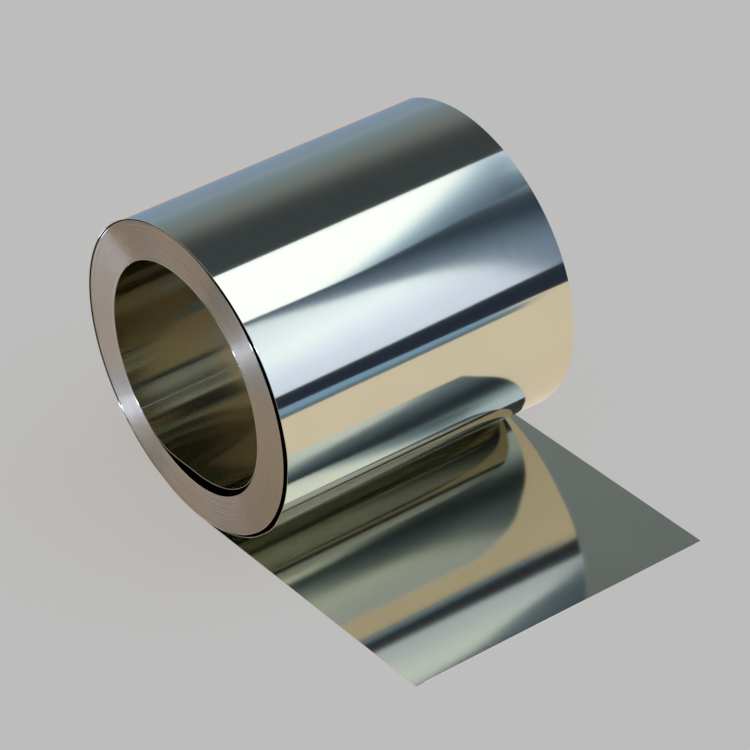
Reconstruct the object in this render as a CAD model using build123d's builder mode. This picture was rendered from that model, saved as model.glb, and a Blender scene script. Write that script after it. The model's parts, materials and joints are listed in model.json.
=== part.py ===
"""A coil of thin bright steel strip, lying on its side with the strip's outer end rolled out flat.

The coil is one piece of stock. The tight turns are one turned solid with a clear bore, and groups of
turns stand a little back from the ends, where the winding wandered. The outermost turn has sprung
loose: it touches the tight turns only underneath, stands off them at the flanks and over the top, and
runs out along the floor as a flat tail.

The origin is the middle of the bore. +Y runs along the bore, +X the way the tail points, +Z up.
"""

import os
from math import asin, cos, degrees, radians, sin, sqrt

from build123d import *

# Driving dimensions, in millimetres
bore_diameter = 150.0
build_up = 25.0
strip_width = 210.0
strip_thickness = 0.3
tail_length = 219.0
tail_side_gap = 5.5
back_side_gap = 2.8
top_gap = 0.8
turn_step = 0.25

# How far the loose turn lies against the tight turns, each way from the bottom, in degrees
tail_side_contact = 18
back_side_contact = 38

# How far each group of turns stands back from the end, from the bore outwards, as shares of turn_step.
# The proudest groups, the outermost among them, reach the full strip width.
setback_shares = (0.8, 0.0, 0.5, 0.0, 0.3, 0.9, 0.0, 0.6, 0.2, 0.0, 0.7, 0.0)

# Tight turns
bore_radius = bore_diameter / 2
body_radius = bore_radius + build_up
half_width = strip_width / 2
group_width = build_up / len(setback_shares)

# Loose outer turn: an oval round the tight turns that rests on them only underneath
oval_x = (tail_side_gap - back_side_gap) / 2
oval_z = top_gap / 2
inner_half_width = body_radius + (tail_side_gap + back_side_gap) / 2
inner_half_height = body_radius + top_gap / 2
outer_half_width = inner_half_width + strip_thickness
outer_half_height = inner_half_height + strip_thickness

# Tail: flat on the floor from the lowest line of the oval
floor_z = -body_radius - strip_thickness
tail_top_z = floor_z + strip_thickness

# The nip is where the oval's outer face meets the top of the tail
nip_share = (tail_top_z - oval_z) / outer_half_height
nip_angle = degrees(asin(nip_share))
nip_x = oval_x + outer_half_width * sqrt(1 - nip_share**2)

# The gap behind the loose turn runs from one side of the contact round to the other
gap_start = tail_side_contact - 90
gap_end = 270 - back_side_contact
gap_ends = [
    (oval_x + inner_half_width * cos(radians(angle)), oval_z + inner_half_height * sin(radians(angle)))
    for angle in (gap_start, gap_end)
]

with BuildPart() as steel_coil:
    # Half section of the tight turns: out along one stepped end and back along the other
    with BuildSketch(Plane.XY):
        with BuildLine():
            far_end = []
            for group, share in enumerate(setback_shares):
                reach = half_width - turn_step * share
                far_end.append((bore_radius + group * group_width, reach))
                far_end.append((bore_radius + (group + 1) * group_width, reach))
            near_end = [(radius, -reach) for radius, reach in reversed(far_end)]
            Polyline(*far_end, *near_end, close=True)
        make_face()
    revolve(axis=Axis.Y)

    # Loose turn and tail, drawn from the end: one strip that leaves the coil along the floor
    with BuildSketch(Plane.XZ):
        with BuildLine():
            Polyline((oval_x, floor_z), (tail_length, floor_z), (tail_length, tail_top_z), (nip_x, tail_top_z))
            EllipticalCenterArc(
                (oval_x, oval_z),
                outer_half_width,
                outer_half_height,
                start_angle=nip_angle,
                arc_size=270 - nip_angle,
            )
        make_face()
        Circle(body_radius - strip_thickness, mode=Mode.SUBTRACT)
        with BuildLine():
            EllipticalCenterArc(
                (oval_x, oval_z),
                inner_half_width,
                inner_half_height,
                start_angle=gap_start,
                arc_size=gap_end - gap_start,
            )
            Line(*gap_ends)
        make_face(mode=Mode.SUBTRACT)
    extrude(amount=half_width, both=True)
steel_coil.part.label = "steel_coil"

os.makedirs("parts", exist_ok=True)
export_step(steel_coil.part, "parts/steel_coil.step")
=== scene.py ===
"""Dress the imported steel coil: one bright strip, wound tight, with a loose outer turn and a flat tail.

The strip is drawn as it was wound. An innermost turn lines the bore and has sprung off it near its free
end, the tight turns are one spiral of real gauge, and the outermost turn runs loose round them and out
along the floor. Lengths are in metres unless a name says otherwise.
"""

import json
import logging
import math
from collections.abc import Mapping, Sequence
from dataclasses import dataclass
from enum import Enum
from typing import Any

import bpy
from mathutils import Matrix, Vector

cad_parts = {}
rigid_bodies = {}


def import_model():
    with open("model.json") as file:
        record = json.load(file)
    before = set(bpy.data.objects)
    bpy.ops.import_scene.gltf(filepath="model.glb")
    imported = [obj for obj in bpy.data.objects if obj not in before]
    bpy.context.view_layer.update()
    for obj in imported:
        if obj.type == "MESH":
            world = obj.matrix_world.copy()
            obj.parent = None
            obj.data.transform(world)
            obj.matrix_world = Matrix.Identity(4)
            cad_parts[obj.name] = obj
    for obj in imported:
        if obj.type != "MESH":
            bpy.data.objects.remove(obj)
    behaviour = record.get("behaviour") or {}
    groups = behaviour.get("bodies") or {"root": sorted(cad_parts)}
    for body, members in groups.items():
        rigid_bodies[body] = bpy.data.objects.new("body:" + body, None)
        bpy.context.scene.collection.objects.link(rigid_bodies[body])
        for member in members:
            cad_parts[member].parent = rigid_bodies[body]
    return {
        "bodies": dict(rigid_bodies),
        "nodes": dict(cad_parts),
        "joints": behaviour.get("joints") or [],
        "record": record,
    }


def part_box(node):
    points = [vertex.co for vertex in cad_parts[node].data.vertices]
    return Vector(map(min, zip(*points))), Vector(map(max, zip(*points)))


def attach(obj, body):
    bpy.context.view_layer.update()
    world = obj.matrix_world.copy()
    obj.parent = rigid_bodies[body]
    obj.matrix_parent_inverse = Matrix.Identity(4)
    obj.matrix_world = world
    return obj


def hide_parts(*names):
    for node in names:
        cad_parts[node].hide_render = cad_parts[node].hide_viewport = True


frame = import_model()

LOG = logging.getLogger("steel_coil")
MM = 0.001
COIL_NODE = "steel_coil"
ROOT_BODY = "root"
STRIP_UV = "strip_uv"
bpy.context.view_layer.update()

# The bore and the nip over the tail are mirrors facing mirrors, which four bounces would leave black
MIRROR_BOUNCES = 12

# A Mix node has sockets of one name for each kind of data, so its colour sockets go by index
MIX_FIRST, MIX_SECOND, MIXED = 6, 7, 2

# Marks run along the tangent, and a quarter turn spreads the gloss across them
ACROSS_MARKS = 0.25

Point2 = tuple[float, float]
Point3 = tuple[float, float, float]
Colour = tuple[float, float, float, float]
Panels = tuple[tuple[Point3, ...], ...]
Fade = tuple[tuple[float, str], ...]
ALONG_X: Point3 = (1.0, 0.0, 0.0)
ALONG_Z: Point3 = (0.0, 0.0, 1.0)
ALONG_X_AND_Z: Point3 = (1.0, 0.0, 1.0)


class StripSide(Enum):
    """The two finishes of the strip, in the order of a piece's material slots."""

    FACE = 0
    EDGE = 1


def linear(hex_colour: str) -> Colour:
    """Turn an sRGB hex colour to a linear one.

    Args:
        hex_colour: Six hex digits, with or without a leading hash.

    Returns:
        Red, green, blue and an alpha of 1, in linear light.
    """
    digits = hex_colour.lstrip("#")
    shares = [int(digits[i : i + 2], 16) / 255 for i in (0, 2, 4)]
    low_slope, knee, offset, gamma = 12.92, 0.04045, 0.055, 2.4
    red, green, blue = (
        share / low_slope if share <= knee else ((share + offset) / (1 + offset)) ** gamma
        for share in shares
    )
    return red, green, blue, 1.0


def add_node(
    tree: bpy.types.NodeTree,
    kind: str,
    settings: Mapping[str, Any] | None = None,
    inputs: Mapping[str | int, Any] | None = None,
) -> bpy.types.Node:
    """Add a node, set its properties and set or link its inputs.

    Args:
        tree: The tree that gets the node.
        kind: The node's Blender type name.
        settings: Properties of the node itself.
        inputs: A value, or an output socket to link, for each input by name or index.

    Returns:
        The new node.
    """
    node = tree.nodes.new(kind)
    for name, value in (settings or {}).items():
        setattr(node, name, value)
    for key, value in (inputs or {}).items():
        if isinstance(value, bpy.types.NodeSocket):
            tree.links.new(value, node.inputs[key])
        else:
            node.inputs[key].default_value = value
    return node


def new_material(name: str) -> tuple[bpy.types.Material, bpy.types.NodeTree]:
    """Start a node material.

    Args:
        name: The material's name.

    Returns:
        The material and its empty tree.
    """
    material = bpy.data.materials.new(name)
    material.use_nodes = True
    material.node_tree.nodes.clear()
    return material, material.node_tree


def add_mesh(
    name: str,
    corners: Sequence[Point3],
    edges: Sequence[tuple[int, int]] = (),
    faces: Sequence[tuple[int, ...]] = (),
) -> bpy.types.Object:
    """Add an object at the origin.

    Args:
        name: The object's name, and its mesh's.
        corners: Where its corners are.
        edges: Pairs of corners that are joined by loose edges.
        faces: The corners round each face.

    Returns:
        The new object.
    """
    mesh = bpy.data.meshes.new(name)
    mesh.from_pydata(list(corners), list(edges), list(faces))
    thing = bpy.data.objects.new(name, mesh)
    bpy.context.scene.collection.objects.link(thing)
    return thing


def set_stops(ramp: bpy.types.Node, stops: Sequence[tuple[float, str]]) -> None:
    """Give a colour ramp its stops.

    Args:
        ramp: The ramp node.
        stops: Position and sRGB hex colour of each stop, in rising order.
    """
    elements = ramp.color_ramp.elements
    while len(elements) < len(stops):
        elements.new(1.0)
    for element, (position, colour) in zip(elements, stops):
        element.position = position
        element.color = linear(colour)


def smoothstep(share: float) -> float:
    """Ease a share from 0 to 1 with no slope at either end.

    Args:
        share: Any number, held between 0 and 1.

    Returns:
        The eased share.
    """
    held = min(1.0, max(0.0, share))
    return held * held * (3 - 2 * held)


def polar(radius: float, angle_deg: float) -> Point2:
    """Place a point on the coil's section.

    Args:
        radius: Distance from the bore's axis.
        angle_deg: Place round it, anticlockwise from +X.

    Returns:
        X and Z.
    """
    angle = math.radians(angle_deg)
    return radius * math.cos(angle), radius * math.sin(angle)


@dataclass(frozen=True)
class CoilSizes:
    """Sizes of the coil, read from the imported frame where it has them.

    The section is drawn in X and Z, as seen from the near end: angles run anticlockwise from +X.
    """

    bore_radius: float
    half_width: float
    floor_z: float
    tail_end_x: float
    back_reach: float
    top_reach: float
    gauge: float = 0.3 * MM
    tail_side_gap: float = 5.5 * MM
    inner_end_deg: float = -139.0
    bottom_deg: float = -90.0
    inner_turns: int = 2
    outer_turns: int = 1
    slack_by_tail: float = 1.5 * MM
    slack_by_tail_deg: float = -12.0
    slack_behind: float = 1.2 * MM
    slack_behind_deg: float = 165.0
    slack_spread: int = 4

    @classmethod
    def from_frame(cls, packed: Mapping[str, Any]) -> "CoilSizes":
        """Read the coil's sizes from the frame.


        Returns:
            The sizes, in metres.
        """
        low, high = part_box(COIL_NODE)
        bore = next(mount for mount in packed["record"]["mounts"] if mount["name"] == "bore")
        return cls(
            bore_radius=bore["dims"]["r_mm"] * MM,
            half_width=(high.y - low.y) / 2,
            floor_z=low.z,
            tail_end_x=high.x,
            back_reach=-low.x,
            top_reach=high.z,
        )

    @property
    def body_radius(self) -> float:
        """Outside radius of the tight turns."""
        return -self.floor_z - self.gauge

    @property
    def wound_start_radius(self) -> float:
        """Where the spiral of tight turns takes over from the innermost ones, at the middle of the gauge."""
        return self.bore_radius + self.gauge * (0.5 + self.inner_turns)

    @property
    def wound_end_radius(self) -> float:
        """Where the spiral hands over to the last tight turn, at the middle of the gauge."""
        return self.body_radius - self.gauge * (0.5 + self.outer_turns)

    @property
    def oval_x(self) -> float:
        """Where the loose turn's oval is centred along X."""
        return (self.body_radius + self.tail_side_gap + self.gauge - self.back_reach) / 2

    @property
    def oval_z(self) -> float:
        """Where the loose turn's oval is centred along Z."""
        return (self.top_reach + self.floor_z) / 2

    @property
    def oval_half_width(self) -> float:
        """Half the oval's width, at the middle of the gauge."""
        return self.back_reach + self.oval_x - self.gauge / 2

    @property
    def oval_half_height(self) -> float:
        """Half the oval's height, at the middle of the gauge."""
        return self.top_reach - self.oval_z - self.gauge / 2

    def slack(self, angle_deg: float) -> float:
        """Tell how far the outer tight turns have eased off the round.

        Args:
            angle_deg: Place round the coil, in degrees from +X.

        Returns:
            Distance away from the axis, in metres, most beside the tail and behind.
        """
        lobes = (
            (self.slack_by_tail, self.slack_by_tail_deg),
            (self.slack_behind, self.slack_behind_deg),
        )
        return sum(
            most * max(0.0, math.cos(math.radians(angle_deg - middle_deg))) ** self.slack_spread
            for most, middle_deg in lobes
        )


@dataclass(frozen=True)
class BrightFace:
    """Bright annealed stainless strip: cold rolled on polished rolls and annealed in dry hydrogen.

    It is a mirror with a faint grain. The grain is left by the rolls, runs along the strip and softens
    reflections across it. Real grain is a few hundredths of a millimetre wide, too fine to show, so it
    is drawn a few tenths wide.
    """

    name: str = "bright_annealed_stainless"
    colour: str = "#CCCBBE"
    shade: str = "#C6C5B8"
    roughness_low: float = 0.065
    roughness_high: float = 0.085
    anisotropy: float = 0.5
    grain_width_mm: float = 0.6
    grain_length_mm: float = 90.0
    grain_depth_mm: float = 0.0001
    grain_detail: float = 3.0
    grain_contrast: float = 0.6
    grain_low: float = 0.3
    grain_high: float = 0.7
    cloud_size_mm: float = 55.0
    cloud_detail: float = 2.0

    def build(self) -> bpy.types.Material:
        """Make the material.

        Returns:
            A node material that follows the strip's own map of length and width.
        """
        material, tree = new_material(self.name)
        strip_map = add_node(tree, "ShaderNodeUVMap", {"uv_map": STRIP_UV})
        grain_scale = (1 / (self.grain_length_mm * MM), 1 / (self.grain_width_mm * MM), 1.0)
        along = add_node(
            tree,
            "ShaderNodeMapping",
            inputs={"Vector": strip_map.outputs["UV"], "Scale": grain_scale},
        )
        grain = add_node(
            tree,
            "ShaderNodeTexNoise",
            {"noise_dimensions": "2D"},
            {
                "Vector": along.outputs["Vector"],
                "Scale": 1.0,
                "Detail": self.grain_detail,
                "Roughness": self.grain_contrast,
            },
        )
        cloud = add_node(
            tree,
            "ShaderNodeTexNoise",
            {"noise_dimensions": "2D"},
            {
                "Vector": strip_map.outputs["UV"],
                "Scale": 1 / (self.cloud_size_mm * MM),
                "Detail": self.cloud_detail,
            },
        )
        tint = add_node(
            tree,
            "ShaderNodeMix",
            {"data_type": "RGBA"},
            {
                "Factor": cloud.outputs["Fac"],
                MIX_FIRST: linear(self.colour),
                MIX_SECOND: linear(self.shade),
            },
        )
        roughness = add_node(
            tree,
            "ShaderNodeMapRange",
            inputs={
                "Value": grain.outputs["Fac"],
                "From Min": self.grain_low,
                "From Max": self.grain_high,
                "To Min": self.roughness_low,
                "To Max": self.roughness_high,
            },
        )
        relief = add_node(
            tree,
            "ShaderNodeBump",
            inputs={"Height": grain.outputs["Fac"], "Distance": self.grain_depth_mm * MM, "Strength": 1.0},
        )
        tangent = add_node(tree, "ShaderNodeTangent", {"direction_type": "UV_MAP", "uv_map": STRIP_UV})
        shader = add_node(
            tree,
            "ShaderNodeBsdfPrincipled",
            inputs={
                "Base Color": tint.outputs[MIXED],
                "Metallic": 1.0,
                "Roughness": roughness.outputs["Result"],
                "Anisotropic": self.anisotropy,
                "Anisotropic Rotation": ACROSS_MARKS,
                "Normal": relief.outputs["Normal"],
                "Tangent": tangent.outputs["Tangent"],
            },
        )
        add_node(tree, "ShaderNodeOutputMaterial", inputs={"Surface": shader.outputs["BSDF"]})
        return material


@dataclass(frozen=True)
class BoreFace(BrightFace):
    """The same strip where it lines the bore, given a duller, straw-tinted colour.

    It mirrors a little less than the outside and through straw. This is painted shade: over the many bounces
    in the bore it turns the bore olive, soft and darker as the light in it goes from side to side.
    """

    name: str = "bright_annealed_stainless_bore_shade"
    # Duller, straw-tinted colour: painted shade that darkens the bore and turns it olive
    colour: str = "#BFBDAE"
    shade: str = "#B8B6A7"
    roughness_low: float = 0.085
    roughness_high: float = 0.105


@dataclass(frozen=True)
class SlitEdge:
    """Slit edge of the strip: sheared by rotary knives, half burnished and half torn, with no polish.

    Many of them side by side make the satin ends of the coil. The shear marks run along the edge, so
    its gloss spreads across the turns. Each turn was slit a little differently, and that shows as
    faint rings. A turn is finer than a pixel, so the rings are drawn a few turns wide.
    """

    name: str = "slit_edge_stainless"
    colour: str = "#BBB5A8"
    shade: str = "#A59F92"
    roughness: float = 0.37
    anisotropy: float = 0.88
    ring_width_mm: float = 1.1
    ring_detail: float = 3.0

    def build(self) -> bpy.types.Material:
        """Make the material.

        Returns:
            A node material with rings about the coil's axis.
        """
        material, tree = new_material(self.name)
        place = add_node(tree, "ShaderNodeTexCoord")
        flat = add_node(
            tree,
            "ShaderNodeVectorMath",
            {"operation": "MULTIPLY"},
            {0: place.outputs["Object"], 1: ALONG_X_AND_Z},
        )
        radius = add_node(tree, "ShaderNodeVectorMath", {"operation": "LENGTH"}, {0: flat.outputs["Vector"]})
        rings = add_node(
            tree,
            "ShaderNodeTexNoise",
            {"noise_dimensions": "1D"},
            {
                "W": radius.outputs["Value"],
                "Scale": 1 / (self.ring_width_mm * MM),
                "Detail": self.ring_detail,
            },
        )
        tint = add_node(
            tree,
            "ShaderNodeMix",
            {"data_type": "RGBA"},
            {
                "Factor": rings.outputs["Fac"],
                MIX_FIRST: linear(self.colour),
                MIX_SECOND: linear(self.shade),
            },
        )
        tangent = add_node(tree, "ShaderNodeTangent", {"direction_type": "RADIAL", "axis": "Y"})
        shader = add_node(
            tree,
            "ShaderNodeBsdfPrincipled",
            inputs={
                "Base Color": tint.outputs[MIXED],
                "Metallic": 1.0,
                "Roughness": self.roughness,
                "Anisotropic": self.anisotropy,
                "Anisotropic Rotation": ACROSS_MARKS,
                "Tangent": tangent.outputs["Tangent"],
            },
        )
        add_node(tree, "ShaderNodeOutputMaterial", inputs={"Surface": shader.outputs["BSDF"]})
        return material


def new_tree(name: str, sockets: Sequence[tuple[str, str]]) -> tuple[bpy.types.NodeTree, bpy.types.Node]:
    """Start a geometry tree with named inputs.

    Args:
        name: The tree's name.
        sockets: The name and socket type of each input after the geometry.

    Returns:
        The tree and its group input node.
    """
    tree = bpy.data.node_groups.new(name, "GeometryNodeTree")
    tree.interface.new_socket("Geometry", in_out="INPUT", socket_type="NodeSocketGeometry")
    for label, kind in sockets:
        tree.interface.new_socket(label, in_out="INPUT", socket_type=kind)
    tree.interface.new_socket("Geometry", in_out="OUTPUT", socket_type="NodeSocketGeometry")
    return tree, add_node(tree, "NodeGroupInput")


def finish_tree(tree: bpy.types.NodeTree, swept: bpy.types.NodeSocket, finish: bpy.types.NodeSocket) -> None:
    """End a geometry tree: stand the swept strip up, make it one mesh and give it its finish.

    Args:
        tree: The geometry tree.
        swept: The output that holds the strip, with the coil's axis along Z.
        finish: The output that holds the material.
    """
    stood = add_node(
        tree, "GeometryNodeTransform", inputs={"Geometry": swept, "Rotation": (math.pi / 2, 0.0, 0.0)}
    )
    whole = add_node(tree, "GeometryNodeRealizeInstances", inputs={"Geometry": stood.outputs["Geometry"]})
    finished = add_node(
        tree,
        "GeometryNodeSetMaterial",
        inputs={"Geometry": whole.outputs["Geometry"], "Material": finish},
    )
    add_node(tree, "NodeGroupOutput", inputs={"Geometry": finished.outputs["Geometry"]})


def run_tree(piece: bpy.types.Object, tree: bpy.types.NodeTree, values: Mapping[str, Any]) -> None:
    """Put a geometry tree on a piece and set its inputs by their identifiers.

    Args:
        piece: The object that carries the modifier.
        tree: The geometry tree.
        values: A value for each named input.
    """
    modifier = piece.modifiers.new(tree.name, "NODES")
    modifier.node_group = tree
    for item in tree.interface.items_tree:
        if item.item_type == "SOCKET" and item.in_out == "INPUT" and item.name in values:
            modifier[item.identifier] = values[item.name]


def settle_mesh(piece: bpy.types.Object, materials: Sequence[bpy.types.Material], crease_deg: float) -> None:
    """Turn a piece and its modifiers into a plain mesh with smooth faces and crisp corners.

    Args:
        piece: The object to settle.
        materials: Its material slots, in order.
        crease_deg: Edges that turn by more than this stay sharp.
    """
    bpy.context.view_layer.update()
    graph = bpy.context.evaluated_depsgraph_get()
    mesh = bpy.data.meshes.new_from_object(
        piece.evaluated_get(graph), preserve_all_data_layers=True, depsgraph=graph
    )
    piece.modifiers.clear()
    piece.data = mesh
    mesh.name = piece.name
    mesh.materials.clear()
    for material in materials:
        mesh.materials.append(material)
    mesh.shade_smooth()
    mesh.set_sharp_from_angle(angle=math.radians(crease_deg))


def new_piece(name: str, points: Sequence[Point2]) -> bpy.types.Object:
    """Add a piece that holds a path of joined points.

    Args:
        name: The piece's name.
        points: X and Z of each point, laid down in X and Y for the sweep to stand up.

    Returns:
        The new object.
    """
    edges = [(i, i + 1) for i in range(len(points) - 1)]
    return add_mesh(name, [(x, z, 0.0) for x, z in points], edges)


def dress(piece: bpy.types.Object) -> None:
    """Let a piece ride on the coil's body and stand for its solid.

    Args:
        piece: The finished piece.
    """
    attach(piece, ROOT_BODY)
    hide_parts(COIL_NODE)
    triangles = sum(len(polygon.vertices) - 2 for polygon in piece.data.polygons)
    LOG.info("%s: %d triangles", piece.name, triangles)


@dataclass
class StripSweep:
    """A length of strip swept along a path: a sheet with a fine grid, given its gauge afterwards."""

    sizes: CoilSizes
    materials: Mapping[StripSide, bpy.types.Material]
    across: int = 30
    wave_height: float = 0.08 * MM
    wave_length: float = 85 * MM
    wave_detail: float = 1.0
    seed: float = 7.0
    corner_share: float = 1 / 3
    corner_deg: float = 60.0
    crease_deg: float = 40.0

    def sheet(
        self, tree: bpy.types.NodeTree, given: bpy.types.Node
    ) -> tuple[bpy.types.NodeSocket, bpy.types.NodeSocket]:
        """Sweep the path to a sheet, mapped by length and width in metres.

        Args:
            tree: The geometry tree.
            given: Its group input node.

        Returns:
            The outputs that hold the sheet and its map.
        """
        path = add_node(tree, "GeometryNodeMeshToCurve", inputs={"Mesh": given.outputs["Geometry"]})
        upright = add_node(
            tree, "GeometryNodeSetCurveNormal", {"mode": "Z_UP"}, {"Curve": path.outputs["Curve"]}
        )
        length = add_node(tree, "GeometryNodeSplineParameter")
        kept = add_node(
            tree,
            "GeometryNodeCaptureAttribute",
            {"domain": "POINT"},
            {"Geometry": upright.outputs["Curve"]},
        )
        kept.capture_items.new("FLOAT", "Length")
        tree.links.new(length.outputs["Length"], kept.inputs["Length"])
        edge = add_node(tree, "ShaderNodeCombineXYZ", inputs={"Y": given.outputs["Half Width"]})
        other = add_node(
            tree, "ShaderNodeVectorMath", {"operation": "SCALE"}, {0: edge.outputs["Vector"], "Scale": -1.0}
        )
        line = add_node(
            tree,
            "GeometryNodeCurvePrimitiveLine",
            inputs={"Start": other.outputs["Vector"], "End": edge.outputs["Vector"]},
        )
        grid = add_node(
            tree,
            "GeometryNodeResampleCurve",
            inputs={"Curve": line.outputs["Curve"], "Count": given.outputs["Across"]},
        )
        across = add_node(tree, "GeometryNodeInputPosition")
        reach = add_node(tree, "ShaderNodeSeparateXYZ", inputs={"Vector": across.outputs["Position"]})
        kept_across = add_node(
            tree, "GeometryNodeCaptureAttribute", {"domain": "POINT"}, {"Geometry": grid.outputs["Curve"]}
        )
        kept_across.capture_items.new("FLOAT", "Height")
        tree.links.new(reach.outputs["Y"], kept_across.inputs["Height"])
        sheet = add_node(
            tree,
            "GeometryNodeCurveToMesh",
            inputs={
                "Curve": kept.outputs["Geometry"],
                "Profile Curve": kept_across.outputs["Geometry"],
            },
        )
        strip_map = add_node(
            tree,
            "ShaderNodeCombineXYZ",
            inputs={"X": kept.outputs["Length"], "Y": kept_across.outputs["Height"]},
        )
        mapped = add_node(
            tree,
            "GeometryNodeStoreNamedAttribute",
            {"data_type": "FLOAT2", "domain": "CORNER"},
            {"Geometry": sheet.outputs["Mesh"], "Name": STRIP_UV, "Value": strip_map.outputs["Vector"]},
        )
        return mapped.outputs["Geometry"], strip_map.outputs["Vector"]

    def waved(
        self,
        tree: bpy.types.NodeTree,
        given: bpy.types.Node,
        sheet: bpy.types.NodeSocket,
        strip_map: bpy.types.NodeSocket,
    ) -> bpy.types.NodeSocket:
        """Push a sheet in by gentle waves.

        Args:
            tree: The geometry tree.
            given: Its group input node.
            sheet: The output that holds the sheet.
            strip_map: The output that holds its map.

        Returns:
            The output that holds the waved sheet.
        """
        scale = add_node(
            tree, "ShaderNodeMath", {"operation": "DIVIDE"}, {0: 1.0, 1: given.outputs["Wave Length"]}
        )
        waves = add_node(
            tree,
            "ShaderNodeTexNoise",
            {"noise_dimensions": "4D"},
            {
                "Vector": strip_map,
                "W": given.outputs["Seed"],
                "Scale": scale.outputs["Value"],
                "Detail": self.wave_detail,
            },
        )
        height = add_node(
            tree,
            "ShaderNodeMath",
            {"operation": "MULTIPLY"},
            {0: waves.outputs["Fac"], 1: given.outputs["Wave Height"]},
        )
        depth = add_node(
            tree, "ShaderNodeMath", {"operation": "MULTIPLY"}, {0: height.outputs["Value"], 1: -1.0}
        )
        facing = add_node(tree, "GeometryNodeInputNormal")
        push = add_node(
            tree,
            "ShaderNodeVectorMath",
            {"operation": "SCALE"},
            {0: facing.outputs["Normal"], "Scale": depth.outputs["Value"]},
        )
        waved = add_node(
            tree, "GeometryNodeSetPosition", inputs={"Geometry": sheet, "Offset": push.outputs["Vector"]}
        )
        return waved.outputs["Geometry"]

    def tree(self) -> bpy.types.NodeTree:
        """Build the sweep: path to sheet, gentle waves and the finish.

        Returns:
            The geometry tree.
        """
        tree, given = new_tree(
            "strip_sweep",
            (
                ("Half Width", "NodeSocketFloat"),
                ("Across", "NodeSocketInt"),
                ("Wave Height", "NodeSocketFloat"),
                ("Wave Length", "NodeSocketFloat"),
                ("Seed", "NodeSocketFloat"),
                ("Finish", "NodeSocketMaterial"),
            ),
        )
        sheet, strip_map = self.sheet(tree, given)
        finish_tree(tree, self.waved(tree, given, sheet, strip_map), given.outputs["Finish"])
        return tree

    def build(self, name: str, path: Sequence[Point2]) -> bpy.types.Object:
        """Sweep the strip along a path.

        Args:
            name: The piece's name.
            path: X and Z of the middle of the gauge, from the inner end towards the tail.

        Returns:
            The finished piece.
        """
        piece = new_piece(name, path)
        run_tree(
            piece,
            self.tree(),
            {
                "Half Width": self.sizes.half_width,
                "Across": self.across,
                "Wave Height": self.wave_height,
                "Wave Length": self.wave_length,
                "Seed": self.seed,
                "Finish": self.materials[StripSide.FACE],
            },
        )
        wall = piece.modifiers.new("gauge", "SOLIDIFY")
        wall.thickness = self.sizes.gauge
        wall.offset = 0.0
        wall.use_even_offset = True
        wall.material_offset_rim = StripSide.EDGE.value
        corners = piece.modifiers.new("corners", "BEVEL")
        corners.width = self.sizes.gauge * self.corner_share
        corners.segments = 1
        corners.limit_method = "ANGLE"
        corners.angle_limit = math.radians(self.corner_deg)
        settle_mesh(piece, [self.materials[side] for side in StripSide], self.crease_deg)
        return piece


@dataclass
class InnerTurns:
    """The innermost turns. The first lines the bore, and near its free end it has sprung off the next."""

    sizes: CoilSizes
    materials: Mapping[StripSide, bpy.types.Material]
    lift_height: float = 8.2 * MM
    lift_start_deg: float = -128.0
    lift_peak_deg: float = -92.0
    lift_end_deg: float = -18.0
    tip_lift: float = 0.5 * MM
    tip_span_deg: float = 12.0
    tip_length: float = 0.9 * MM
    burnished_tips: float = 1.5
    wave_height: float = 0.02 * MM
    seed: float = 3.0
    steps_per_turn: int = 240

    def lift(self, angle_deg: float) -> float:
        """Height of the sprung stretch off the bore.

        Args:
            angle_deg: Place round the bore, in degrees from +X.

        Returns:
            Distance towards the axis, in metres.
        """
        rise = (angle_deg - self.lift_start_deg) / (self.lift_peak_deg - self.lift_start_deg)
        fall = (self.lift_end_deg - angle_deg) / (self.lift_end_deg - self.lift_peak_deg)
        tip = 1 - (angle_deg - self.sizes.inner_end_deg) / self.tip_span_deg
        return self.lift_height * smoothstep(rise) * smoothstep(fall) + self.tip_lift * smoothstep(tip)

    def path(self) -> list[Point2]:
        """Trace the turns from the strip's inner end.

        Returns:
            X and Z of the middle of the gauge.
        """
        sizes = self.sizes
        steps = self.steps_per_turn * sizes.inner_turns
        tip_turns = self.tip_length / (math.tau * sizes.bore_radius)
        points = []
        for turns in (0.0, tip_turns, *(step / self.steps_per_turn for step in range(1, steps + 1))):
            angle_deg = sizes.inner_end_deg + 360 * turns
            radius = sizes.bore_radius + sizes.gauge * (0.5 + turns) - self.lift(angle_deg)
            points.append(polar(radius, angle_deg))
        return points

    def burnish_tip(self, piece: bpy.types.Object) -> None:
        """Give the last of the inner end, bruised by the shear, the finish of an edge.

        Args:
            piece: The swept turns.
        """
        strip_map = piece.data.uv_layers[STRIP_UV].data
        reach = self.burnished_tips * self.tip_length
        for polygon in piece.data.polygons:
            if max(strip_map[loop].uv.x for loop in polygon.loop_indices) < reach:
                polygon.material_index = StripSide.EDGE.value

    def build(self) -> bpy.types.Object:
        """Make the piece.

        Returns:
            The finished piece.
        """
        sweep = StripSweep(self.sizes, self.materials, wave_height=self.wave_height, seed=self.seed)
        piece = sweep.build("inner_turns", self.path())
        self.burnish_tip(piece)
        return piece


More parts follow.
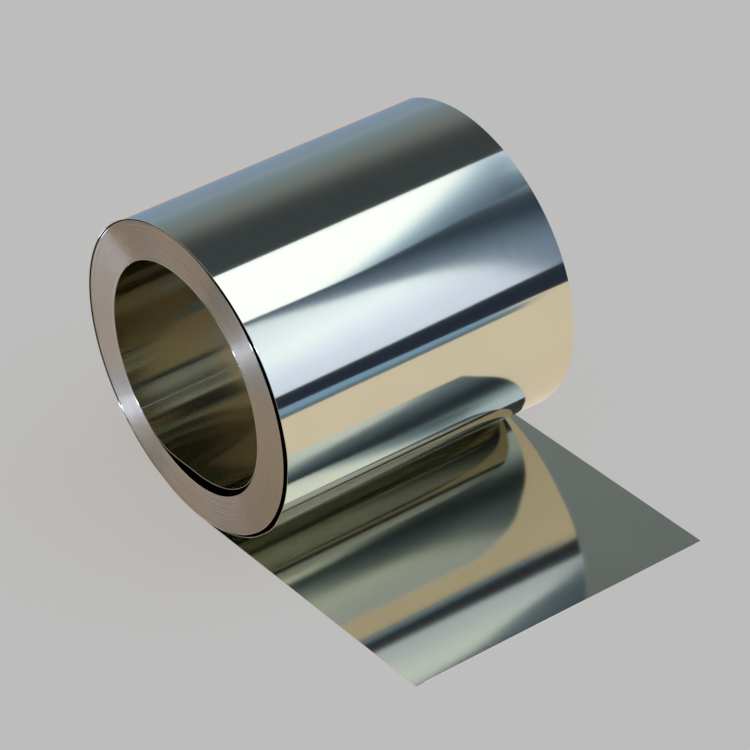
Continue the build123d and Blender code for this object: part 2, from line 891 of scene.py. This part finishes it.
@dataclass
class WoundTurns:
    """The tight turns: one spiral of strip, whose edges make the ringed ends of the coil."""

    sizes: CoilSizes
    materials: Mapping[StripSide, bpy.types.Material]
    drawn_gauge_share: float = 0.92
    points_per_turn: int = 116
    wander: float = 0.16 * MM
    jitter: float = 0.05 * MM
    groups_per_turn: float = 0.16
    group_detail: float = 2.0
    jitters_per_turn: float = 1.7
    jitter_detail: float = 1.0
    noise_low: float = 0.25
    noise_high: float = 0.75
    seed: float = 11.0
    corner_share: float = 1 / 3
    crease_deg: float = 60.0

    def turns(self) -> float:
        """Count the turns from the innermost ones to the bottom of the last one, about a gauge each.

        Returns:
            The number of turns, which isn't whole.
        """
        build_up = self.sizes.wound_end_radius - self.sizes.wound_start_radius
        part = (self.sizes.bottom_deg - self.sizes.inner_end_deg) / 360
        return round(build_up / self.sizes.gauge - part) + part

    def path(self) -> list[Point2]:
        """Trace the spiral, whose outer turns have eased off the round.

        Returns:
            X and Z of the middle of the gauge.
        """
        sizes = self.sizes
        turns = self.turns()
        steps = round(turns * self.points_per_turn)
        build_up = sizes.wound_end_radius - sizes.wound_start_radius
        points = []
        for step in range(steps + 1):
            share = step / steps
            angle_deg = sizes.inner_end_deg + 360 * turns * share
            radius = sizes.wound_start_radius + build_up * share
            points.append(polar(radius + sizes.slack(angle_deg) * share**2, angle_deg))
        return points

    def shift(self, tree: bpy.types.NodeTree, given: bpy.types.Node) -> bpy.types.NodeSocket:
        """Set each turn in or out: slowly by groups, and a little by itself.

        Args:
            tree: The geometry tree.
            given: Its group input node.

        Returns:
            The output that holds the way along the coil's axis.
        """
        index = add_node(tree, "GeometryNodeInputIndex")
        turn = add_node(
            tree,
            "ShaderNodeMath",
            {"operation": "DIVIDE"},
            {0: index.outputs["Index"], 1: given.outputs["Points Per Turn"]},
        )
        seeded = add_node(
            tree,
            "ShaderNodeMath",
            {"operation": "ADD"},
            {0: turn.outputs["Value"], 1: given.outputs["Seed"]},
        )
        slow = add_node(
            tree,
            "ShaderNodeTexNoise",
            {"noise_dimensions": "1D"},
            {"W": seeded.outputs["Value"], "Scale": given.outputs["Groups"], "Detail": self.group_detail},
        )
        fast = add_node(
            tree,
            "ShaderNodeTexNoise",
            {"noise_dimensions": "1D"},
            {
                "W": seeded.outputs["Value"],
                "Scale": self.jitters_per_turn,
                "Detail": self.jitter_detail,
            },
        )
        offsets = []
        for noise, reach in ((slow, "Wander"), (fast, "Jitter")):
            centred = add_node(
                tree,
                "ShaderNodeMapRange",
                {"clamp": True},
                {
                    "Value": noise.outputs["Fac"],
                    "From Min": self.noise_low,
                    "From Max": self.noise_high,
                    "To Min": -1.0,
                    "To Max": 1.0,
                },
            )
            offsets.append(
                add_node(
                    tree,
                    "ShaderNodeMath",
                    {"operation": "MULTIPLY"},
                    {0: centred.outputs["Result"], 1: given.outputs[reach]},
                )
            )
        shift = add_node(
            tree,
            "ShaderNodeMath",
            {"operation": "ADD"},
            {0: offsets[0].outputs["Value"], 1: offsets[1].outputs["Value"]},
        )
        sideways = add_node(tree, "ShaderNodeCombineXYZ", inputs={"Z": shift.outputs["Value"]})
        return sideways.outputs["Vector"]

    def tree(self) -> bpy.types.NodeTree:
        """Build the sweep: a strip section along the spiral, with each turn set in or out.

        Returns:
            The geometry tree.
        """
        tree, given = new_tree(
            "wound_turns",
            (
                ("Points Per Turn", "NodeSocketInt"),
                ("Gauge", "NodeSocketFloat"),
                ("Width", "NodeSocketFloat"),
                ("Corner", "NodeSocketFloat"),
                ("Wander", "NodeSocketFloat"),
                ("Jitter", "NodeSocketFloat"),
                ("Groups", "NodeSocketFloat"),
                ("Seed", "NodeSocketFloat"),
                ("Finish", "NodeSocketMaterial"),
            ),
        )
        spiral = add_node(tree, "GeometryNodeMeshToCurve", inputs={"Mesh": given.outputs["Geometry"]})
        wandered = add_node(
            tree,
            "GeometryNodeSetPosition",
            inputs={"Geometry": spiral.outputs["Curve"], "Offset": self.shift(tree, given)},
        )
        upright = add_node(
            tree, "GeometryNodeSetCurveNormal", {"mode": "Z_UP"}, {"Curve": wandered.outputs["Geometry"]}
        )
        section = add_node(
            tree,
            "GeometryNodeCurvePrimitiveQuadrilateral",
            {"mode": "RECTANGLE"},
            {"Width": given.outputs["Gauge"], "Height": given.outputs["Width"]},
        )
        rounded = add_node(
            tree,
            "GeometryNodeFilletCurve",
            {"mode": "POLY"},
            {"Curve": section.outputs["Curve"], "Radius": given.outputs["Corner"], "Count": 1},
        )
        strip = add_node(
            tree,
            "GeometryNodeCurveToMesh",
            inputs={
                "Curve": upright.outputs["Curve"],
                "Profile Curve": rounded.outputs["Curve"],
                "Fill Caps": True,
            },
        )
        finish_tree(tree, strip.outputs["Mesh"], given.outputs["Finish"])
        return tree

    def build(self) -> bpy.types.Object:
        """Make the piece.

        Returns:
            The finished piece.
        """
        sizes = self.sizes
        gauge = sizes.gauge * self.drawn_gauge_share
        piece = new_piece("wound_turns", self.path())
        run_tree(
            piece,
            self.tree(),
            {
                "Points Per Turn": self.points_per_turn,
                "Gauge": gauge,
                "Width": 2 * (sizes.half_width - self.wander - self.jitter),
                "Corner": gauge * self.corner_share,
                "Wander": self.wander,
                "Jitter": self.jitter,
                "Groups": self.groups_per_turn,
                "Seed": self.seed,
                "Finish": self.materials[StripSide.EDGE],
            },
        )
        settle_mesh(piece, [self.materials[StripSide.EDGE]], self.crease_deg)
        return piece


@dataclass(frozen=True)
class Buckle:
    """A soft buckle along the strip's width: out on one side of a level line and in on the other."""

    height: float
    middle_deg: float
    level_y: float
    spread_deg: float = 4.0

    def rise(self, angle_deg: float, y: float, half_width: float) -> float:
        """Tell how far the strip stands out.

        Args:
            angle_deg: Place round the coil, in degrees from +X.
            y: Place along the coil's axis.
            half_width: Half the strip's width.

        Returns:
            Distance away from the axis, less than nothing where the strip sinks.
        """
        spreads = (angle_deg - self.middle_deg) / self.spread_deg
        return self.height * (self.level_y - y) / half_width * math.exp(-(spreads**2) / 2)


@dataclass
class LooseTurnAndTail:
    """The last tight turn, the loose one sprung into an oval round it, and the flat tail."""

    sizes: CoilSizes
    materials: Mapping[StripSide, bpy.types.Material]
    leave_deg: float = 34.0
    buckles: tuple[Buckle, ...] = (
        Buckle(0.6 * MM, middle_deg=0.0, level_y=-20 * MM),
        Buckle(0.5 * MM, middle_deg=-38.0, level_y=26 * MM),
    )
    loose_clear: float = 2.2 * MM
    loose_reach: float = 11.0 * MM
    turn_steps: int = 600
    tail_steps: int = 56

    def path(self) -> list[Point2]:
        """Trace the strip round the last tight turn, round the oval, and along the floor.

        Returns:
            X and Z of the middle of the gauge.
        """
        sizes = self.sizes
        tight = sizes.body_radius - sizes.gauge / 2
        points = []
        for step in range(self.turn_steps * sizes.outer_turns):
            turns = step / self.turn_steps
            angle_deg = sizes.bottom_deg + 360 * turns
            radius = sizes.wound_end_radius + sizes.gauge * turns + sizes.slack(angle_deg)
            points.append(polar(radius, angle_deg))
        for step in range(self.turn_steps + 1):
            round_deg = 360 * step / self.turn_steps
            angle = math.radians(sizes.bottom_deg + round_deg)
            loose = smoothstep(round_deg / self.leave_deg)
            oval_x = sizes.oval_x + sizes.oval_half_width * math.cos(angle)
            oval_z = sizes.oval_z + sizes.oval_half_height * math.sin(angle)
            points.append(
                (
                    tight * math.cos(angle) * (1 - loose) + oval_x * loose,
                    tight * math.sin(angle) * (1 - loose) + oval_z * loose,
                )
            )
        start_x, tail_z = points[-1]
        for step in range(1, self.tail_steps + 1):
            points.append((start_x + (sizes.tail_end_x - start_x) * step / self.tail_steps, tail_z))
        return points

    def bend(self, piece: bpy.types.Object) -> None:
        """Put the buckles in the loose turn, over the tail.

        Args:
            piece: The swept strip.
        """
        sizes = self.sizes
        low = sizes.body_radius + self.loose_clear
        high = sizes.body_radius + self.loose_reach
        for vertex in piece.data.vertices:
            x, y, z = vertex.co
            radius = math.hypot(x, z)
            if low < radius < high:
                angle_deg = math.degrees(math.atan2(z, x))
                rise = sum(buckle.rise(angle_deg, y, sizes.half_width) for buckle in self.buckles)
                new_x, new_z = polar(radius + rise, angle_deg)
                vertex.co = (new_x, y, new_z)

    def build(self) -> bpy.types.Object:
        """Make the piece.

        Returns:
            The finished piece.
        """
        piece = StripSweep(self.sizes, self.materials).build("loose_turn_and_tail", self.path())
        self.bend(piece)
        return piece


@dataclass(frozen=True)
class Card:
    """A studio card that only shows in the metal: a soft light, a dark flag or a tinted board."""

    name: str
    panels: Panels
    glow: str | Fade
    strength: float = 1.0
    fade_along: Point3 = ALONG_Z

    def material(self) -> bpy.types.Material:
        """Make the card's glow, of one colour or fading along a line.

        Returns:
            A material that gives off light and nothing else.
        """
        material, tree = new_material(self.name)
        glow = add_node(tree, "ShaderNodeEmission", inputs={"Strength": self.strength})
        if isinstance(self.glow, str):
            glow.inputs["Color"].default_value = linear(self.glow)
        else:
            place = add_node(tree, "ShaderNodeTexCoord")
            reach = add_node(
                tree,
                "ShaderNodeVectorMath",
                {"operation": "DOT_PRODUCT"},
                {0: place.outputs["Object"], 1: self.fade_along},
            )
            low, high = self.glow[0][0], self.glow[-1][0]
            share = add_node(
                tree,
                "ShaderNodeMapRange",
                inputs={"Value": reach.outputs["Value"], "From Min": low, "From Max": high},
            )
            ramp = add_node(tree, "ShaderNodeValToRGB", inputs={"Fac": share.outputs["Result"]})
            set_stops(ramp, [((stop - low) / (high - low), colour) for stop, colour in self.glow])
            tree.links.new(ramp.outputs["Color"], glow.inputs["Color"])
        add_node(tree, "ShaderNodeOutputMaterial", inputs={"Surface": glow.outputs["Emission"]})
        return material

    def build(self) -> None:
        """Hang the card out of the camera's sight."""
        corners: list[Point3] = []
        faces: list[tuple[int, ...]] = []
        for panel in self.panels:
            faces.append(tuple(range(len(corners), len(corners) + len(panel))))
            corners.extend(panel)
        card = add_mesh(self.name, corners, faces=faces)
        card.data.materials.append(self.material())
        card.visible_camera = False
        card.visible_diffuse = False
        card.visible_shadow = False


@dataclass
class Stage:
    """Pale floor and room, one soft lamp, and the cards that the bright strip mirrors."""

    floor_z: float
    room: str = "#BDBDBD"
    floor_glow: str = "#C9C4BE"
    floor_paint: str = "#7D93A8"
    glow_share: float = 0.78
    floor_reach: float = 14.0
    board_reach: float = 13.0
    board_lift: float = 0.05 * MM
    board_edge_x: float = -0.55
    board_edge_y: float = -0.1
    mat_lift: float = 1.0 * MM
    wall_y: float = 0.6
    near_wall_y: float = -1.2
    sill_low_z: float = -0.072
    sill_high_z: float = 0.155
    low_cards_end_x: float = 2.6
    tent_radius: float = 12.0
    tent_rows: int = 16
    tent_columns: int = 32
    lamp_energy: float = 2.6
    lamp_spread_deg: float = 60.0
    lamp_towards: Point3 = (-0.45, -0.25, -1.0)

    def on_wall(self, *outline: Point2, set_back: float = 0.0, slant: float = 0.0) -> Panels:
        """Lay out a card that hangs upright behind the coil's far end.

        Args:
            outline: X and Z of each corner.
            set_back: How far behind the wall it hangs, over the coil's axis.
            slant: How far it comes forward for each metre along X.

        Returns:
            One panel.
        """
        return (tuple((x, self.wall_y + set_back - slant * x, z) for x, z in outline),)

    def before_near_end(self, *outline: Point2) -> Panels:
        """Lay out a card that stands upright before the coil's near end.

        Args:
            outline: X and Z of each corner.

        Returns:
            One panel.
        """
        return (tuple((x, self.near_wall_y, z) for x, z in outline),)

    def on_floor(self, *outline: Point2, lift: float) -> Panels:
        """Lay out a card that lies on the floor.

        Args:
            outline: X and Y of each corner.
            lift: Its height over the floor.

        Returns:
            One panel.
        """
        return (tuple((x, y, self.floor_z + lift) for x, y in outline),)

    def board(self, low_x: float, high_x: float, low_y: float, high_y: float) -> Panels:
        """Lay out a board on the floor, thinner than the strip that lies on it.

        Args:
            low_x: Where it starts along X.
            high_x: Where it ends along X.
            low_y: Where it starts along Y.
            high_y: Where it ends along Y.

        Returns:
            One panel.
        """
        outline = ((low_x, low_y), (high_x, low_y), (high_x, high_y), (low_x, high_y))
        return self.on_floor(*outline, lift=self.board_lift)

    def tent(self) -> Panels:
        """Lay out a round tent of grey cloth over the whole set.

        Returns:
            Its panels, in rows from the ground to the top.
        """

        def corner(row: int, column: int) -> Point3:
            """Place one corner of the cloth, by its row and column."""
            level, height = polar(self.tent_radius, 90 * row / self.tent_rows)
            x, y = polar(level, 360 * column / self.tent_columns)
            return x, y, height

        return tuple(
            (
                corner(row, column),
                corner(row, column + 1),
                corner(row + 1, column + 1),
                corner(row + 1, column),
            )
            for row in range(self.tent_rows)
            for column in range(self.tent_columns)
        )

    def room_cards(self) -> list[Card]:
        """List the tent, dim overhead and paler towards the ground, and the boards on the floor, the warm
        one with a painted shadow of the coil.

        Returns:
            The cards.
        """
        reach, edge_x, edge_y = self.board_reach, self.board_edge_x, self.board_edge_y
        tent_shares = (
            (0.0, "#92A9C4"),
            (0.20, "#9AAFC5"),
            (0.34, "#8DA2AF"),
            (0.55, "#868F92"),
            (0.64, "#71777A"),
            (0.72, "#545A5D"),
            (0.785, "#484F56"),
        )
        tent_fade = tuple((share * self.tent_radius, colour) for share, colour in tent_shares)
        # The beige is the floor's own colour. Darker towards the coil and on to its left is a painted shadow
        # of the coil, as the metal mirrors it
        warm_fade_and_painted_shadow = (
            (edge_x, "#DABFAE"),
            (-0.12, "#E4CBB6"),
            (0.04, "#EDDEC8"),
            (0.12, "#F7E8D3"),
            (0.20, "#FCEED8"),
        )
        return [
            Card("tent_card", self.tent(), tent_fade),
            Card("cool_board", self.board(-reach, edge_x, edge_y, reach), "#92A9C4"),
            Card("warm_board", self.board(edge_x, reach, edge_y, reach), warm_fade_and_painted_shadow, fade_along=ALONG_X),
            Card("near_board", self.board(-reach, reach, -reach, edge_y), "#D0C0B2"),
        ]

    def window_card(self) -> Card:
        """Hang a window behind the far end, beyond the tail.

        Returns:
            The card.
        """
        outline = self.on_wall(
            (1.48, 0.1),
            (3.8, 0.1),
            (3.8, 2.3),
            (1.19, 1.84),
            (1.28, 1.45),
            (1.32, 1.10),
            (1.40, 0.75),
            (1.46, 0.45),
            set_back=0.3,
        )
        fade = ((0.21, "#C2CDE4"), (0.58, "#CAD5F0"), (1.10, "#E2F0FE"), (1.68, "#D3E0F0"))
        return Card("window_card", outline, fade, strength=1.85)

    def lamp_card(self) -> Card:
        """Hang a bright lamp behind the far end, over the coil, that dims towards its lower left.

        Returns:
            The card.
        """
        outline = self.on_wall(
            (-0.10, 1.46),
            (0.20, 1.09),
            (0.37, 0.82),
            (0.51, 0.85),
            (0.56, 0.865),
            (0.615, 0.99),
            (0.75, 1.29),
            (0.75, 3.4),
            (-0.29, 3.4),
            (-0.128, 1.55),
            set_back=0.25,
            slant=0.7,
        )
        fade = (
            (1.20, "#35434E"),
            (1.26, "#4C5E72"),
            (1.33, "#62778C"),
            (1.375, "#7A91A7"),
            (1.41, "#99B1C6"),
            (1.44, "#C6DAEA"),
            (1.47, "#F0F8FF"),
        )
        return Card("lamp_card", outline, fade, strength=1.95, fade_along=ALONG_X_AND_Z)

    def flag_card(self) -> Card:
        """Hang a flag behind the lamp and the window, dark between the two.

        Returns:
            The card.
        """
        low_x, high_x, low_z, high_z = -0.11, 1.9, 0.1, 2.5
        outline = self.on_wall(
            (low_x, low_z), (high_x, low_z), (high_x, high_z), (low_x, high_z), set_back=0.32
        )
        fade = (
            (low_x, "#D0DFFF"),
            (0.25, "#C6DCF6"),
            (0.48, "#9AB0C6"),
            (0.63, "#5E6F83"),
            (0.75, "#36424F"),
            (0.92, "#2B3745"),
            (1.04, "#3A4857"),
            (1.18, "#516377"),
            (1.32, "#62748D"),
        )
        return Card("flag_card", outline, fade, strength=1.75, fade_along=ALONG_X)

    def low_cards(self) -> list[Card]:
        """List what stands and lies under the window: a dark sill, and a blue mat with its skirt.

        Returns:
            The cards.
        """
        low_z, high_z, end_x = self.sill_low_z, self.sill_high_z, self.low_cards_end_x
        sill_x, mat_x, near_y = 0.7, 0.72, 0.15
        sill = self.on_wall((sill_x, low_z), (end_x, low_z), (end_x, high_z), (sill_x, high_z))
        skirt = self.on_wall((1.02, low_z), (1.06, self.floor_z), (end_x, self.floor_z), (end_x, low_z))
        mat = self.on_floor(
            (mat_x, near_y),
            (mat_x, 0.43),
            (0.85, 0.51),
            (0.98, self.wall_y),
            (end_x, self.wall_y),
            (end_x, near_y),
            lift=self.mat_lift,
        )
        mat_fade = ((mat_x, "#6A7E8D"), (0.85, "#6D8EA6"), (0.95, "#82A7C5"), (1.05, "#94BAE2"))
        return [
            Card("sill_card", sill, "#2D3649"),
            Card("mat_card", skirt + mat, mat_fade, fade_along=ALONG_X),
        ]

    def end_cards(self) -> list[Card]:
        """List the cloth and the strip lights that the near end mirrors, the lights as two bright streaks.

        Returns:
            The cards.
        """
        floor_z, cloth_top_z = self.floor_z, 1.2
        cloth = self.before_near_end(
            (-2.6, floor_z), (-0.3, floor_z), (-0.3, cloth_top_z), (-2.6, cloth_top_z)
        )
        side_cloth = self.before_near_end(
            (0.10, 0.30), (0.50, 0.62), (0.50, cloth_top_z), (0.10, cloth_top_z)
        )
        high_strip = self.before_near_end((-0.15, floor_z), (-0.10, floor_z), (0.63, 0.49), (0.59, 0.55))
        low_strip = self.on_floor(
            (-0.138, -0.12), (-0.118, -0.12), (-0.118, -0.5), (-0.138, -0.5), lift=self.mat_lift
        )
        return [
            Card("cloth_card", cloth + side_cloth, "#EDDFD6"),
            Card("low_strip_card", low_strip, "#CFDDFF", strength=6.4),
            Card("high_strip_card", high_strip, "#DDE3FF", strength=11.7),
        ]

    def floor_material(self) -> bpy.types.Material:
        """Make the floor: pale and mostly its own light, so that the coil's shadow on it stays faint.

        Returns:
            A matt material with a glow.
        """
        material, tree = new_material("pale_floor")
        matt = add_node(tree, "ShaderNodeBsdfDiffuse", inputs={"Color": linear(self.floor_paint)})
        glow = add_node(
            tree, "ShaderNodeEmission", inputs={"Color": linear(self.floor_glow), "Strength": 1.0}
        )
        both = add_node(
            tree,
            "ShaderNodeMixShader",
            inputs={"Fac": self.glow_share, 1: matt.outputs["BSDF"], 2: glow.outputs["Emission"]},
        )
        add_node(tree, "ShaderNodeOutputMaterial", inputs={"Surface": both.outputs["Shader"]})
        return material

    def build_floor(self) -> None:
        """Lay the floor."""
        reach = self.floor_reach
        corners = [(-reach, -reach), (reach, -reach), (reach, reach), (-reach, reach)]
        floor = add_mesh("floor", [(x, y, self.floor_z) for x, y in corners], faces=[(0, 1, 2, 3)])
        floor.data.materials.append(self.floor_material())

    def build_world(self) -> None:
        """Make the room, the same pale grey all round."""
        world = bpy.data.worlds.new("room")
        world.use_nodes = True
        bpy.context.scene.world = world
        tree = world.node_tree
        tree.nodes.clear()
        sky = add_node(tree, "ShaderNodeBackground", inputs={"Color": linear(self.room), "Strength": 1.0})
        add_node(tree, "ShaderNodeOutputWorld", inputs={"Surface": sky.outputs["Background"]})

    def build_lamp(self) -> None:
        """Hang one broad lamp that lights the floor and casts the soft shadow."""
        lamp = bpy.data.lights.new("key_lamp", "SUN")
        lamp.energy = self.lamp_energy
        lamp.angle = math.radians(self.lamp_spread_deg)
        holder = bpy.data.objects.new("key_lamp", lamp)
        holder.rotation_euler = Vector(self.lamp_towards).to_track_quat("-Z", "Y").to_euler()
        holder.visible_glossy = False
        bpy.context.scene.collection.objects.link(holder)

    def build(self) -> None:
        """Set the whole stage."""
        self.build_floor()
        self.build_world()
        self.build_lamp()
        wall_cards = [self.window_card(), self.lamp_card(), self.flag_card()]
        for card in self.room_cards() + wall_cards + self.low_cards() + self.end_cards():
            card.build()


@dataclass(frozen=True)
class PhotoCamera:
    """The camera, at the photograph's viewing angle."""

    azimuth_deg: float = 56.466
    elevation_deg: float = 33.368
    roll_deg: float = -4.721
    distance: float = 2.279
    aim: Point3 = (0.0315, 0.0090, -0.0324)
    clip_end: float = 100.0
    focal_px: float = 3777.8
    frame_px: float = 750.0
    sensor_mm: float = 36.0

    def build(self) -> None:
        """Place the camera and make it the scene's own."""
        azimuth, elevation, roll = (
            math.radians(a) for a in (self.azimuth_deg, self.elevation_deg, self.roll_deg)
        )
        back = Vector(
            (
                math.sin(azimuth) * math.cos(elevation),
                -math.cos(azimuth) * math.cos(elevation),
                math.sin(elevation),
            )
        )
        level_right = Vector((math.cos(azimuth), math.sin(azimuth), 0.0))
        level_up = back.cross(level_right)
        right = math.cos(roll) * level_right + math.sin(roll) * level_up
        up = math.cos(roll) * level_up - math.sin(roll) * level_right
        place = Vector(self.aim) + back * self.distance
        data = bpy.data.cameras.new("photo_camera")
        data.sensor_width = self.sensor_mm
        data.lens = self.focal_px / self.frame_px * self.sensor_mm
        data.clip_end = self.clip_end
        camera = bpy.data.objects.new("photo_camera", data)
        bpy.context.scene.collection.objects.link(camera)
        turn = Matrix((right, up, back)).transposed().to_4x4()
        camera.matrix_world = Matrix.Translation(place) @ turn
        bpy.context.scene.camera = camera


def main() -> None:
    """Build the coil, the stage and the camera."""
    logging.basicConfig(level=logging.INFO, format="%(name)s: %(message)s")
    bpy.context.scene.view_settings.view_transform = "Standard"
    bpy.context.scene.cycles.glossy_bounces = MIRROR_BOUNCES
    sizes = CoilSizes.from_frame(frame)
    edge = SlitEdge().build()
    inside = {StripSide.FACE: BoreFace().build(), StripSide.EDGE: edge}
    outside = {StripSide.FACE: BrightFace().build(), StripSide.EDGE: edge}
    parts = (InnerTurns(sizes, inside), WoundTurns(sizes, outside), LooseTurnAndTail(sizes, outside))
    for part in parts:
        dress(part.build())
    Stage(sizes.floor_z).build()
    PhotoCamera().build()


if __name__ == "__main__":
    main()
